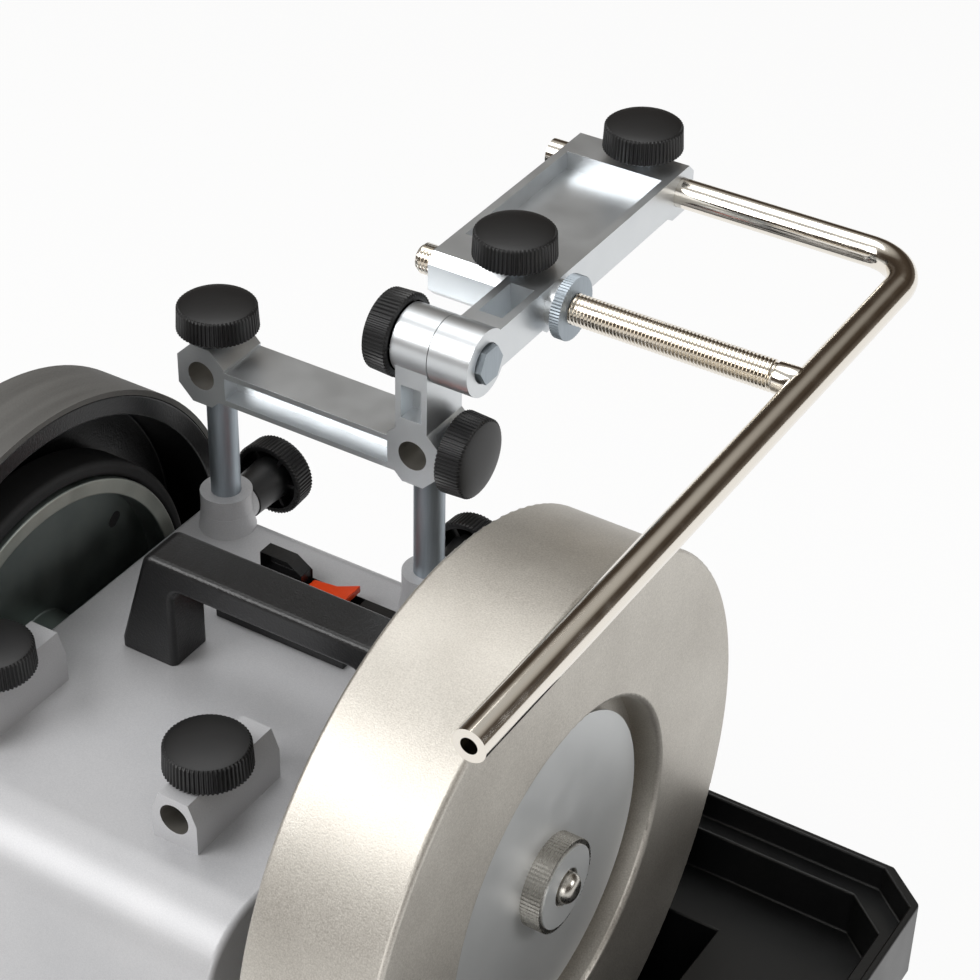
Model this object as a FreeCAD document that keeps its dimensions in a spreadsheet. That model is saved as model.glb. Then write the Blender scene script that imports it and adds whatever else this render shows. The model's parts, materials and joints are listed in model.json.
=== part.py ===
import FreeCAD, Part
import Sketcher
import itertools
import math
import os
import re
from FreeCAD import Placement, Rotation, Vector

# Wet grinder with a coarse wheel, a honing wheel and a clamped tool support
doc = FreeCAD.newDocument("wet_grinder")
sheet = doc.addObject("Spreadsheet::Sheet", "dims")

# Driving sizes in millimetres and degrees
sizes = {
    # frame datums: the plane midway between the sleeves, and the axle
    "mid_x": -69.5,
    "axle_y": -50.65,
    "axle_height": 200,
    # fits
    "run_fit": 0.05,
    "loose_gap": 0.3,
    "screw_fit": 0.1,
    # cast top
    "case_left": -64,
    "case_width": 150,
    "case_wall": 4,
    "panel_wall": 4.8,
    "top_rise": 24.7,
    "split_drop": 50,
    "front_top_y": -104,
    "front_split_y": -131,
    "rear_top_y": 90,
    "rear_split_y": 104,
    "nose_round": 28,
    "nose_inset": 17,
    "rear_round": 8,
    "rim_round": 2.5,
    # moulded base and feet
    "front_base_y": -139,
    "foot_height": 12,
    "foot_rad": 12,
    "foot_inset": 20,
    "floor_thick": 3,
    "floor_inset": 1,
    "base_screw_rad": 2,
    "base_screw_head": 2.2,
    # rods and sleeves
    "rod_rad": 6,
    "sleeve_gap": 96,
    "sleeve_y": 80.5,
    "sleeve_rad": 10.5,
    "sleeve_rise": 17.1,
    "sleeve_depth": 50,
    "clamp_rise": 5.3,
    "clamp_boss_rad": 8,
    "clamp_boss_end": 96,
    "front_sleeve_start": -77.3,
    "front_sleeve_len": 47.6,
    "front_sleeve_half": 9.5,
    "front_sleeve_side": 12.5,
    "front_sleeve_rise": 20.8,
    "front_sleeve_flat": 6.2,
    "front_bore_rise": 11.6,
    "front_knob_y": -57.5,
    # clamp knobs
    "knob_rad": 16,
    "knob_side": 9.6,
    "knob_crown": 2.2,
    "knob_shoulder": 1.5,
    "knob_lift": 0.6,
    "knob_rib": 0.55,
    "knob_rib_count": 60,
    "knob_wall": 2.6,
    "knob_hollow": 7,
    "knob_hub_rad": 6.5,
    "knob_web": 1.6,
    "knob_web_drop": 1,
    "knob_web_count": 6,
    "stud_rad": 4,
    "stud_hold": 8,
    "rear_knob_gap": 11,
    # carrying handle
    "handle_front": -3,
    "handle_depth": 20.5,
    "handle_left": -35,
    "handle_inset": 3,
    "handle_lean_left": 13,
    "handle_lean_right": 2,
    "handle_foot_left": 25,
    "handle_foot_right": 9.5,
    "handle_rise": 47.6,
    "handle_bar": 12,
    "handle_skirt": 4,
    "handle_round": 5,
    "handle_edge": 2.5,
    "handle_screw_rad": 2,
    "handle_screw_head_rad": 3.6,
    "handle_screw_head": 3,
    "handle_screw_len": 16,
    # rocker switch
    "switch_left": -16,
    "switch_width": 58.5,
    "switch_front": 30.5,
    "switch_depth": 35.5,
    "switch_sill": 4,
    "switch_hood": 12.6,
    "switch_hood_low": 8,
    "switch_hood_flat": 13,
    "switch_hood_slope": 7,
    "switch_hood_depth": 7,
    "rocker_left": 5,
    "rocker_width": 22,
    "rocker_margin": 5,
    "rocker_high": 10.5,
    "rocker_low": 4.2,
    "rocker_thick": 3.2,
    "rocker_belly": 1,
    "rocker_crest": 1.4,
    "rocker_swing": 1.6,
    "switch_body_height": 20,
    # spindle and grinding wheel
    "shaft_rad": 6,
    "shaft_left": -108,
    "bush_rad": 11,
    "bush_len": 24,
    "boss_rad": 17,
    "wheel_reach": 70.7,
    "wheel_width": 50,
    "wheel_rad": 125,
    "wheel_rim": 9,
    "wheel_plate": 8,
    "wheel_round": 2,
    "recess_rad": 70,
    "recess_depth": 12,
    "face_disc_rad": 63,
    "face_disc_depth": 7,
    "face_disc_thick": 0.8,
    "face_disc_lap": 3,
    "wheel_web": 8,
    "wheel_hub_rad": 22,
    "washer_rad": 20,
    "washer_thick": 6,
    "quick_nut_rad": 18,
    "quick_nut_len": 8.4,
    "quick_nut_rib": 0.35,
    "quick_nut_ribs": 72,
    "nut_plate_rad": 16,
    "nut_plate_thick": 0.6,
    "nut_mouth_rad": 7.5,
    "shaft_end": 4.2,
    "shaft_dome": 4,
    # drive wheel and honing wheel
    "drive_face": -68.5,
    "drive_width": 19,
    "drive_rad": 74.5,
    "drive_rim": 6.5,
    "drive_web": 5,
    "drive_hub_rad": 17,
    "drive_hub_lead": 2,
    "tyre_rad": 81,
    "tyre_inset": 1.5,
    "hone_face": -68.5,
    "hone_width": 31,
    "hone_rad": 110,
    "strap_thick": 2.2,
    "hone_rim": 8,
    "hone_web": 5.5,
    "hone_nut_rad": 17,
    "hone_nut_len": 7,
    # motor
    "spindle_rad": 5.25,
    "spindle_end": -89,
    "motor_y": 25,
    "stator_left": -44,
    "stator_len": 62,
    "stator_rad": 48,
    "rotor_rad": 26,
    "air_gap": 0.4,
    "shield_thick": 8,
    "shield_rad": 42,
    "rotor_shaft_rad": 8,
    "spindle_hole": 9,
    "cradle_thick": 3,
    "cradle_half": 40,
    "cap_rad": 20,
    "cap_len": 70,
    "cap_y": -85,
    "inlet_x": -38,
    "inlet_z": 60,
    "inlet_rad": 7,
    "inlet_flange_rad": 10.5,
    "inlet_flange": 4,
    "inlet_cord_rad": 3.5,
    # water trough
    "trough_gap": 5.3,
    "trough_width": 155.7,
    "trough_half": 133,
    "rim_drop": 60,
    "shelf_drop": 36,
    "well_drop": 52,
    "trough_wall": 3,
    "trough_cut_x": 17,
    "trough_cut_y": 14,
    "trough_ledge": 11,
    "trough_ledge_drop": 12,
    "well_width": 86.7,
    "well_half": 98,
    "rail_half": 45,
    "rail_drop": 84,
    "rail_height": 8,
    "magnet_rad": 9,
    "magnet_thick": 4,
    # support base
    "bore_rise": 101.4,
    "beam_front": 68.7,
    "beam_depth": 23.6,
    "block_half": 11,
    "block_tall": 12.8,
    "block_cut": 6.5,
    "beam_top": 5.1,
    "beam_bottom": 9.4,
    "beam_flange": 2.4,
    "beam_channel": 8,
    "post_left": 40.6,
    "post_width": 13.6,
    "hub_rad": 13,
    "hub_rise": 143.6,
    "hub_left": 39,
    "hub_face": 54.4,
    "leg_drop": 30,
    "leg_seat": 6,
    "beam_knob_gap": 2.4,
    # pivot plate, in its own tilted frame about the hub
    "arm_tilt": 1.03,
    "plate_left": 22,
    "plate_right": 71.5,
    "near_rod": 48,
    "barrel_half": 10,
    "barrel_top": 9,
    "barrel_low": 10,
    "barrel_cut": 4,
    "plate_low": 7.5,
    "plate_wall": 3.5,
    "plate_floor": 1.5,
    "arm_wall": 3.4,
    "arm_floor": -3,
    "arm_clear": 16,
    "bolt_head_rad": 7.5,
    "bolt_head": 4.5,
    "bolt_recess": 2.2,
    "plate_knob_x": 53.6,
    "plate_knob_gap": 5,
    "nut_boss_rad": 9,
    "nut_boss": 4,
    "adjust_rad": 12.5,
    "adjust_thick": 4,
    "adjust_rib": 0.3,
    "adjust_ribs": 64,
    # tool support
    "bar_x": 173.1,
    "bar_front": -172,
    "bar_bend": 20,
    "bar_hole_rad": 3,
    "bar_hole_depth": 18,
    "stub_end": 12.7,
    "collar_rad": 6.3,
    "collar_start": 157,
    "collar_seat": 2.5,
}
# places that follow from the axle and the width of the case
levels = {
    "top_z": "axle_height + top_rise",
    "split_z": "axle_height - split_drop",
    "clamp_z": "top_z + clamp_rise",
    "handle_right": "case_left + case_width - handle_inset",
    "wheel_face": "case_left + case_width + wheel_reach",
    "trough_inner": "case_left + case_width + trough_gap",
    "trough_outer": "trough_inner + trough_width",
    "well_outer": "trough_inner + well_width",
    "trough_rim_z": "axle_height - rim_drop",
    "trough_shelf_z": "trough_rim_z - shelf_drop",
    "trough_floor_z": "trough_shelf_z - well_drop",
    "rail_z": "axle_height - rail_drop",
    "beam_bore_z": "axle_height + bore_rise",
    "hub_z": "axle_height + hub_rise",
    "leg_bottom": "axle_height - leg_drop",
}
rows = {**sizes, **{name: f"={formula}" for name, formula in levels.items()}}
for row, (name, amount) in enumerate(rows.items(), start=1):
    sheet.set(f"A{row}", name)
    sheet.set(f"B{row}", str(amount))
    sheet.setAlias(f"B{row}", name)
doc.recompute()

# Lengths that several pieces share, written once
bore_rad = "(rod_rad + run_fit)"
half_gap = "(sleeve_gap / 2)"
case_right = "(case_left + case_width)"
panel_run = "((front_split_y - front_top_y) / (top_z - split_z))"
front_bore_z = "(top_z + front_bore_rise)"
front_seat_z = "(top_z + front_sleeve_rise)"
base_z = "(foot_height + floor_thick)"
stud_hole = "(stud_rad + screw_fit)"
shaft_hole = "(shaft_rad + run_fit)"
wheel_back = "(wheel_face - wheel_width)"
disc_seat = "(wheel_face - face_disc_depth - face_disc_thick)"
motor_reach = "(tyre_rad + spindle_rad + run_fit)"
motor_z = f"(axle_height - sqrt({motor_reach} * {motor_reach} - motor_y * motor_y))"
hone_left = "(hone_face - hone_width)"
drive_left = "(drive_face - drive_width)"
far_rod = "(near_rod + sleeve_gap)"
rear_seat_y = "(clamp_boss_end + rear_knob_gap)"
block_top = "(beam_bore_z + block_tall)"
block_right = f"({half_gap} + block_half)"
rocker_mid = "(rocker_left + rocker_width / 2)"
rocker_front = "(switch_front + rocker_margin)"
rocker_depth = "(switch_depth - rocker_margin - loose_gap)"

parts = []
serial = itertools.count(1)
tolerance = 0.01


def bound(text):
    return re.sub(r"[a-z_][a-z0-9_]*",
                  lambda m: "dims." + m.group(0) if m.group(0) in rows else m.group(0), text)


def number(text):
    return float(sheet.evalExpression(bound(text)))


def keep(item, label):
    item.Label = label
    parts.append(item)
    return item


def plain_name(label):
    return f"{label}_{next(serial)}"


def frame_expressions(item, x="0", y="0", z="0"):
    item.setExpression("Placement.Base.x", bound(f"mid_x + {x}"))
    item.setExpression("Placement.Base.y", bound(f"axle_y + {y}"))
    item.setExpression("Placement.Base.z", bound(z))


turns = {
    "z": Rotation(),
    "x": Rotation(Vector(0, 1, 0), 90),
    "-x": Rotation(Vector(0, 1, 0), -90),
    "y": Rotation(Vector(1, 0, 0), -90),
}


def cylinder(radius, length, x, y, z, axis="z"):
    item = doc.addObject("Part::Cylinder", plain_name("round"))
    item.Placement = Placement(Vector(), turns[axis])
    item.setExpression("Radius", bound(radius))
    item.setExpression("Height", bound(length))
    frame_expressions(item, x, y, z)
    return item


def box(x, y, z, dx, dy, dz):
    item = doc.addObject("Part::Box", plain_name("block"))
    for side, text in (("Length", dx), ("Width", dy), ("Height", dz)):
        item.setExpression(side, bound(text))
    frame_expressions(item, x, y, z)
    return item


def cut(base, tool):
    item = doc.addObject("Part::Cut", plain_name("cut"))
    item.Base = base
    item.Tool = tool
    return item


def group(label, items):
    item = doc.addObject("Part::Compound", label)
    item.Links = items
    return keep(item, label)


def start_body(label, z="0"):
    body = doc.addObject("PartDesign::Body", label)
    frame_expressions(body, z=z)
    return keep(body, label)


def start_arm_body(label):
    body = doc.addObject("PartDesign::Body", label)
    body.Placement = arm_frame()
    return keep(body, label)


def arm_frame():
    hub = Vector(number("mid_x"), number("axle_y + sleeve_y"), number("hub_z"))
    return Placement(hub, Rotation(Vector(1, 0, 0), number("arm_tilt")))


def circle(x, y, radius):
    return ("circle", x, y, radius)


def rect(x0, x1, y0, y1):
    return [(x0, y0), (x1, y0), (x1, y1), (x0, y1)]


def octagon(x, y, half_w, top, low, corner):
    return [(f"{x} - {half_w} + {corner}", f"{y} - {low}"), (f"{x} + {half_w} - {corner}", f"{y} - {low}"),
            (f"{x} + {half_w}", f"{y} - {low} + {corner}"), (f"{x} + {half_w}", f"{y} + {top} - {corner}"),
            (f"{x} + {half_w} - {corner}", f"{y} + {top}"), (f"{x} - {half_w} + {corner}", f"{y} + {top}"),
            (f"{x} - {half_w}", f"{y} + {top} - {corner}"), (f"{x} - {half_w}", f"{y} - {low} + {corner}")]


def place_point(sketch, geo, spot, point):
    for kind, text, on_axis in (("DistanceX", point[0], -2), ("DistanceY", point[1], -1)):
        if text == "0":
            sketch.addConstraint(Sketcher.Constraint("PointOnObject", geo, spot, on_axis))
            continue
        index = sketch.addConstraint(Sketcher.Constraint(kind, -1, 1, geo, spot, number(text)))
        sketch.setExpression(f"Constraints[{index}]", bound(text))


def draw_circle(sketch, outline):
    x, y, radius = outline[1:]
    middle = Vector(number(x), number(y), 0)
    geo = sketch.addGeometry(Part.Circle(middle, Vector(0, 0, 1), number(radius)))
    place_point(sketch, geo, 3, (x, y))
    index = sketch.addConstraint(Sketcher.Constraint("Radius", geo, number(radius)))
    sketch.setExpression(f"Constraints[{index}]", bound(radius))


def draw_polygon(sketch, outline):
    corners = [Vector(number(x), number(y), 0) for x, y in outline]
    following = corners[1:] + corners[:1]
    lines = [sketch.addGeometry(Part.LineSegment(a, b)) for a, b in zip(corners, following)]
    for geo, after in zip(lines, lines[1:] + lines[:1]):
        sketch.addConstraint(Sketcher.Constraint("Coincident", geo, 2, after, 1))
    for geo, point in zip(lines, outline):
        place_point(sketch, geo, 1, point)


def sketch_on(body, plane, start, outlines):
    sketch = body.newObject("Sketcher::SketchObject", plain_name(body.Label + "_sketch"))
    face = [item for item in body.Origin.OriginFeatures if item.Role == plane + "_Plane"][0]
    sketch.AttachmentSupport = (face, [""])
    sketch.MapMode = "FlatFace"
    along = f"-({start})" if plane == "XZ" else start
    sketch.setExpression("AttachmentOffset.Base.z", bound(along))
    for outline in outlines:
        if outline[0] == "circle":
            draw_circle(sketch, outline)
        else:
            draw_polygon(sketch, outline)
    return sketch


def pad(body, plane, start, length, *outlines):
    sketch = sketch_on(body, plane, start, outlines)
    feature = body.newObject("PartDesign::Pad", plain_name(body.Label + "_pad"))
    feature.Profile = sketch
    feature.setExpression("Length", bound(length))
    feature.Reversed = plane == "XZ"
    doc.recompute()
    return feature


def pocket(body, plane, start, length, *outlines):
    before = body.Shape.Volume
    sketch = sketch_on(body, plane, start, outlines)
    feature = body.newObject("PartDesign::Pocket", plain_name(body.Label + "_pocket"))
    feature.Profile = sketch
    feature.setExpression("Length", bound(length))
    feature.Reversed = plane != "XZ"
    doc.recompute()
    if not body.Shape.Volume < before:
        raise RuntimeError(f"{feature.Name} took nothing away")
    return feature


def spin(body, profile):
    sketch = sketch_on(body, "XY", "0", [profile])
    feature = body.newObject("PartDesign::Revolution", plain_name(body.Label + "_turn"))
    feature.Profile = sketch
    feature.ReferenceAxis = (sketch, ["H_Axis"])
    feature.Angle = 360
    doc.recompute()
    return feature


def turned(label, profile):
    body = start_body(label, z="axle_height")
    spin(body, profile)
    return body


def edges_where(body, test):
    return [f"Edge{i}" for i, edge in enumerate(body.Shape.Edges, start=1) if test(edge)]


def round_edges(body, radius, test):
    local = body.Placement.inverse()

    def chosen(edge):
        copy = edge.copy()
        copy.Placement = local.multiply(copy.Placement)
        return test(copy)

    base = body.Tip
    edges = edges_where(body, chosen)
    feature = body.newObject("PartDesign::Fillet", plain_name(body.Label + "_round"))
    feature.Base = (base, edges)
    feature.setExpression("Radius", bound(radius))
    doc.recompute()
    return feature


def near(a, b):
    return abs(a - b) < tolerance


# Cast top with upright sleeves, front sleeve blocks and shaft bosses
casting = start_body("top_casting")
pad(casting, "YZ", "case_left", "case_width",
    [("front_split_y", "split_z"), ("rear_split_y", "split_z"), ("rear_top_y", "top_z"),
     ("front_top_y", "top_z")])
nose_y = number("front_top_y")
back_y = number("rear_top_y")
lid_z = number("top_z")


def along_x_at(edge, y, z):
    ends = [v.Point for v in edge.Vertexes]
    return len(ends) == 2 and all(near(p.y, y) and near(p.z, z) for p in ends)


round_edges(casting, "nose_round", lambda e: along_x_at(e, nose_y, lid_z))
round_edges(casting, "rear_round", lambda e: along_x_at(e, back_y, lid_z))


def on_case_side(edge):
    box_x = edge.BoundBox
    flat = near(box_x.XMin, box_x.XMax)
    return flat and not near(box_x.ZMax, number("split_z"))


round_edges(casting, "rim_round", on_case_side)
inner_nose_z = "(top_z - case_wall - nose_inset)"
inner_nose_y = f"(front_top_y + panel_wall + (top_z - {inner_nose_z}) * {panel_run})"
pocket(casting, "YZ", "case_left + case_wall", "case_width - 2 * case_wall",
       [("front_split_y + panel_wall", "split_z"), ("rear_split_y - panel_wall", "split_z"),
        ("rear_top_y - panel_wall", "top_z - rear_round"),
        ("rear_top_y - panel_wall - rear_round", "top_z - case_wall"),
        ("front_top_y + panel_wall + nose_inset", "top_z - case_wall"), (inner_nose_y, inner_nose_z)])
sleeve_spots = [f"-{half_gap}", half_gap]
pad(casting, "XY", "top_z - sleeve_depth", "sleeve_depth + sleeve_rise",
    *[circle(x, "sleeve_y", "sleeve_rad") for x in sleeve_spots])
pad(casting, "XZ", "sleeve_y", "clamp_boss_end - sleeve_y",
    *[circle(x, "clamp_z", "clamp_boss_rad") for x in sleeve_spots])
pad(casting, "XZ", "front_sleeve_start", "front_sleeve_len",
    *[[(f"{x} - front_sleeve_half", "top_z - case_wall / 2"), (f"{x} + front_sleeve_half", "top_z - case_wall / 2"),
       (f"{x} + front_sleeve_half", "top_z + front_sleeve_side"), (f"{x} + front_sleeve_flat", front_seat_z),
       (f"{x} - front_sleeve_flat", front_seat_z), (f"{x} - front_sleeve_half", "top_z + front_sleeve_side")]
      for x in sleeve_spots])
for start in ("case_left", f"{case_right} - bush_len"):
    pad(casting, "YZ", start, "bush_len", circle("0", "axle_height", "boss_rad"))
pocket(casting, "YZ", "case_left", "case_width", circle("0", "axle_height", "bush_rad"))
pocket(casting, "XY", "top_z - sleeve_depth", "sleeve_depth + sleeve_rise",
       *[circle(x, "sleeve_y", bore_rad) for x in sleeve_spots])
pocket(casting, "XZ", "front_sleeve_start", "front_sleeve_len",
       *[circle(x, front_bore_z, bore_rad) for x in sleeve_spots])
pocket(casting, "XY", front_bore_z, "front_sleeve_rise - front_bore_rise",
       *[circle(x, "front_knob_y", stud_hole) for x in sleeve_spots])
pocket(casting, "XZ", "sleeve_y", "clamp_boss_end - sleeve_y",
       *[circle(x, "clamp_z", stud_hole) for x in sleeve_spots])
pocket(casting, "XY", "top_z - case_wall", "case_wall",
       rect("rocker_left - rocker_swing", "rocker_left + rocker_width + rocker_swing",
            f"{rocker_front} - loose_gap", "switch_front + switch_depth - loose_gap"))
handle_mid_y = "(handle_front + handle_depth / 2)"
handle_feet = ["(handle_left + handle_foot_left / 2)", "(handle_right - handle_foot_right / 2)"]
pocket(casting, "XY", "top_z - case_wall", "case_wall",
       *[circle(x, handle_mid_y, "handle_screw_rad + screw_fit") for x in handle_feet])

# Moulded base shell, floor plate, feet and floor screws
shell = start_body("base_housing")
pad(shell, "YZ", "case_left", "case_width",
    [("front_base_y", base_z), ("rear_split_y", base_z), ("rear_split_y", "split_z"),
     ("front_split_y", "split_z")])
pocket(shell, "YZ", "case_left + case_wall", "case_width - 2 * case_wall",
       [("front_base_y + case_wall", base_z), ("rear_split_y - case_wall", base_z),
        ("rear_split_y - case_wall", "split_z"), ("front_split_y + case_wall", "split_z")])
corner_spots = [(x, y) for x in ("(case_left + foot_inset)", f"({case_right} - foot_inset)")
                for y in ("(front_base_y + foot_inset)", "(rear_split_y - foot_inset)")]
pocket(shell, "YZ", "case_left", "case_wall", circle("motor_y", motor_z, "spindle_hole"))
pocket(shell, "XZ", "rear_split_y - case_wall", "case_wall", circle("inlet_x", "inlet_z", "inlet_rad"))

floor = start_body("bottom_plate")
pad(floor, "XY", "foot_height", "floor_thick",
    rect("case_left + floor_inset", f"{case_right} - floor_inset",
         "front_base_y + floor_inset", "rear_split_y - floor_inset"))
pocket(floor, "XY", "foot_height", "floor_thick",
       *[circle(x, y, "base_screw_rad + screw_fit") for x, y in corner_spots])
group("rubber_feet", [
    cut(cylinder("foot_rad", "foot_height", x, y, "0"),
        cylinder("base_screw_rad + screw_fit", "foot_height", x, y, "0")) for x, y in corner_spots])
group("foot_screws", [
    cylinder("base_screw_rad", f"{base_z} + base_screw_head - foot_height / 2", x, y, "foot_height / 2")
    for x, y in corner_spots])

# Carrying handle
handle = start_body("carry_handle")
handle_top = "(top_z + handle_rise)"
handle_under = "(top_z + handle_rise - handle_bar)"
pad(handle, "XZ", "handle_front", "handle_depth",
    [("handle_left", "top_z"), ("handle_left + handle_foot_left", "top_z"),
     ("handle_left + handle_foot_left", handle_under), ("handle_right - handle_foot_right", handle_under),
     ("handle_right - handle_foot_right", "top_z"), ("handle_right", "top_z"),
     ("handle_right", "top_z + handle_skirt"), ("handle_right - handle_lean_right", handle_top),
     ("handle_left + handle_lean_left", handle_top), ("handle_left", "top_z + handle_skirt")])


skirt_z = number("top_z + handle_skirt")


def along_y_above_foot(edge):
    ends = [v.Point for v in edge.Vertexes]
    return near(ends[0].x, ends[-1].x) and near(ends[0].z, ends[-1].z) and ends[0].z > skirt_z + tolerance


round_edges(handle, "handle_round", along_y_above_foot)


def on_handle_face(edge):
    limits = edge.BoundBox
    return near(limits.YMin, limits.YMax) and limits.ZMax > lid_z + tolerance


round_edges(handle, "handle_edge", on_handle_face)
pocket(handle, "XY", "top_z", "handle_screw_len",
       *[circle(x, handle_mid_y, "handle_screw_rad") for x in handle_feet])
screws = []
for x in handle_feet:
    shank = cylinder("handle_screw_rad", "case_wall + handle_screw_len", x, handle_mid_y, "top_z - case_wall")
    head = cylinder("handle_screw_head_rad", "handle_screw_head", x, handle_mid_y,
                    "top_z - case_wall - handle_screw_head")
    whole = doc.addObject("Part::MultiFuse", plain_name("screw"))
    whole.Shapes = [shank, head]
    screws.append(whole)
group("handle_screws", screws)

# Rocker switch with its hooded frame
bezel = start_body("switch_bezel")
switch_right = "(switch_left + switch_width)"
switch_rear = "(switch_front + switch_depth)"
pad(bezel, "XY", "top_z", "switch_sill", rect("switch_left", switch_right, "switch_front", switch_rear))
hood_end = "(switch_left + switch_hood_flat)"
pad(bezel, "XZ", f"{switch_rear} - switch_hood_depth", "switch_hood_depth",
    [("switch_left", "top_z"), (f"{hood_end} + switch_hood_slope", "top_z"),
     (f"{hood_end} + switch_hood_slope", "top_z + switch_hood_low"), (hood_end, "top_z + switch_hood"),
     ("switch_left", "top_z + switch_hood")])
pocket(bezel, "XY", "top_z", "switch_hood",
       rect("rocker_left - rocker_swing", "rocker_left + rocker_width + rocker_swing",
            f"{rocker_front} - loose_gap", f"{switch_rear} - loose_gap"))

rocker = start_body("switch_rocker")
pad(rocker, "XZ", rocker_front, f"{rocker_depth} - loose_gap",
    [("rocker_left", "top_z + rocker_low - rocker_thick"),
     (rocker_mid, "top_z + rocker_low - rocker_thick - rocker_belly"),
     ("rocker_left + rocker_width", "top_z + rocker_high - rocker_thick"),
     ("rocker_left + rocker_width", "top_z + rocker_high"),
     (rocker_mid, "top_z + rocker_low + rocker_crest"),
     ("rocker_left", "top_z + rocker_low")])
switch_block = start_body("switch_body")
pad(switch_block, "XY", "top_z - case_wall - switch_body_height", "switch_body_height",
    rect("rocker_left - case_wall", "rocker_left + rocker_width + case_wall",
         f"{rocker_front} - case_wall", f"{switch_rear} - case_wall"))

# Spindle with its bushes and the two wheels
group("shaft_bushes", [
    cut(cylinder("bush_rad", "bush_len", start, "0", "axle_height", "x"),
        cylinder(shaft_hole, "bush_len", start, "0", "axle_height", "x"))
    for start in ("case_left", f"({case_right} - bush_len)")])
nut_front = f"({disc_seat} + face_disc_thick + quick_nut_len)"
shaft_tip = f"({nut_front} + shaft_end)"
shaft = turned("main_shaft", [
    ("shaft_left", "0"), ("shaft_left", "shaft_rad"), (shaft_tip, "shaft_rad"), (shaft_tip, "0")])
tip_x = number(shaft_tip)
round_edges(shaft, "shaft_dome", lambda e: near(e.BoundBox.XMin, tip_x) and near(e.BoundBox.XMax, tip_x))
wheel = turned("grinding_wheel", [
    (wheel_back, shaft_hole), (disc_seat, shaft_hole), (disc_seat, "face_disc_rad - face_disc_lap"),
    ("wheel_face - recess_depth", "face_disc_rad - face_disc_lap"), ("wheel_face - recess_depth", "recess_rad"),
    ("wheel_face", "recess_rad"), ("wheel_face", "wheel_rad"), (wheel_back, "wheel_rad"),
    (wheel_back, "wheel_rad - wheel_rim"), ("wheel_face - wheel_plate", "wheel_rad - wheel_rim"),
    ("wheel_face - wheel_plate", "recess_rad + wheel_plate"),
    ("wheel_face - recess_depth - wheel_web", "recess_rad + wheel_plate"),
    ("wheel_face - recess_depth - wheel_web", "wheel_hub_rad"), (wheel_back, "wheel_hub_rad")])
face_x = number("wheel_face")
back_x = number(wheel_back)


def wheel_lip(edge):
    limits = edge.BoundBox
    wide = limits.YMax
    outer = near(wide, number("wheel_rad")) and near(limits.XMin, limits.XMax)
    inner = near(wide, number("recess_rad")) and near(limits.XMin, face_x)
    return outer or inner


round_edges(wheel, "wheel_round", wheel_lip)
turned("wheel_washer", [
    (f"{wheel_back} - washer_thick", shaft_hole), (wheel_back, shaft_hole),
    (wheel_back, "washer_rad"), (f"{wheel_back} - washer_thick", "washer_rad")])
turned("wheel_face_disc", [
    (disc_seat, shaft_hole), (f"{disc_seat} + face_disc_thick", shaft_hole),
    (f"{disc_seat} + face_disc_thick", "face_disc_rad"), (disc_seat, "face_disc_rad")])
drive_web_left = f"({drive_left} + drive_rim / 2)"
turned("drive_wheel", [
    (drive_left, shaft_hole), ("drive_face + drive_hub_lead", shaft_hole),
    ("drive_face + drive_hub_lead", "drive_hub_rad"), (f"{drive_web_left} + drive_web", "drive_hub_rad"),
    (f"{drive_web_left} + drive_web", "drive_rad - drive_rim"), ("drive_face", "drive_rad - drive_rim"),
    ("drive_face", "drive_rad"), (drive_left, "drive_rad"), (drive_left, "drive_rad - drive_rim"),
    (drive_web_left, "drive_rad - drive_rim"), (drive_web_left, "drive_hub_rad"), (drive_left, "drive_hub_rad")])
turned("friction_ring", [
    (drive_left, "drive_rad"), ("drive_face - tyre_inset", "drive_rad"),
    ("drive_face - tyre_inset", "tyre_rad"), (drive_left, "tyre_rad")])
strap_in = "(hone_rad - strap_thick)"
turned("honing_wheel", [
    (hone_left, shaft_hole), (drive_left, shaft_hole), (drive_left, "drive_hub_rad"),
    (f"{hone_left} + hone_web", "drive_hub_rad"), (f"{hone_left} + hone_web", f"{strap_in} - hone_rim"),
    ("hone_face", f"{strap_in} - hone_rim"), ("hone_face", strap_in), (hone_left, strap_in)])
turned("leather_strap", [
    (hone_left, strap_in), ("hone_face", strap_in), ("hone_face", "hone_rad"), (hone_left, "hone_rad")])


def ribbed_outline(radius, depth, count):
    points = []
    for i in range(2 * count):
        reach = radius - depth * (i % 2)
        angle = math.pi * i / count
        points.append(Vector(reach * math.cos(angle), reach * math.sin(angle), 0))
    return Part.Face(Part.makePolygon(points + points[:1]))


def ribbed_nut(label, radius, depth, count, length, hole, axis, at):
    item = doc.addObject("Part::Feature", label)
    outline = ribbed_outline(number(radius), number(depth), int(number(count)))
    blank = outline.extrude(Vector(0, 0, number(length)))
    item.Shape = blank.cut(Part.makeCylinder(number(hole), number(length)))
    item.Placement = Placement(at, turns[axis])
    return keep(item, label)


def frame_point(x, y, z):
    return Vector(number(f"mid_x + {x}"), number(f"axle_y + {y}"), number(z))


ribbed_nut("honing_nut", "hone_nut_rad", "knob_rib", "knob_rib_count", "hone_nut_len", shaft_hole, "-x",
           frame_point(hone_left, "0", "axle_height"))
quick_nut = ribbed_nut("quick_nut", "quick_nut_rad", "quick_nut_rib", "quick_nut_ribs",
                       "quick_nut_len - nut_plate_thick", shaft_hole, "x",
                       frame_point(f"{disc_seat} + face_disc_thick", "0", "axle_height"))
turned("quick_nut_plate", [
    (f"{nut_front} - nut_plate_thick", "nut_mouth_rad"), (nut_front, "nut_mouth_rad"),
    (nut_front, "nut_plate_rad"), (f"{nut_front} - nut_plate_thick", "nut_plate_rad")])

# Motor whose bare spindle end drives the rubber ring
stator_right = "(stator_left + stator_len)"


def motor_ring(start, length, outer, inner):
    return cut(cylinder(outer, length, start, "motor_y", motor_z, "x"),
               cylinder(inner, length, start, "motor_y", motor_z, "x"))


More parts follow.
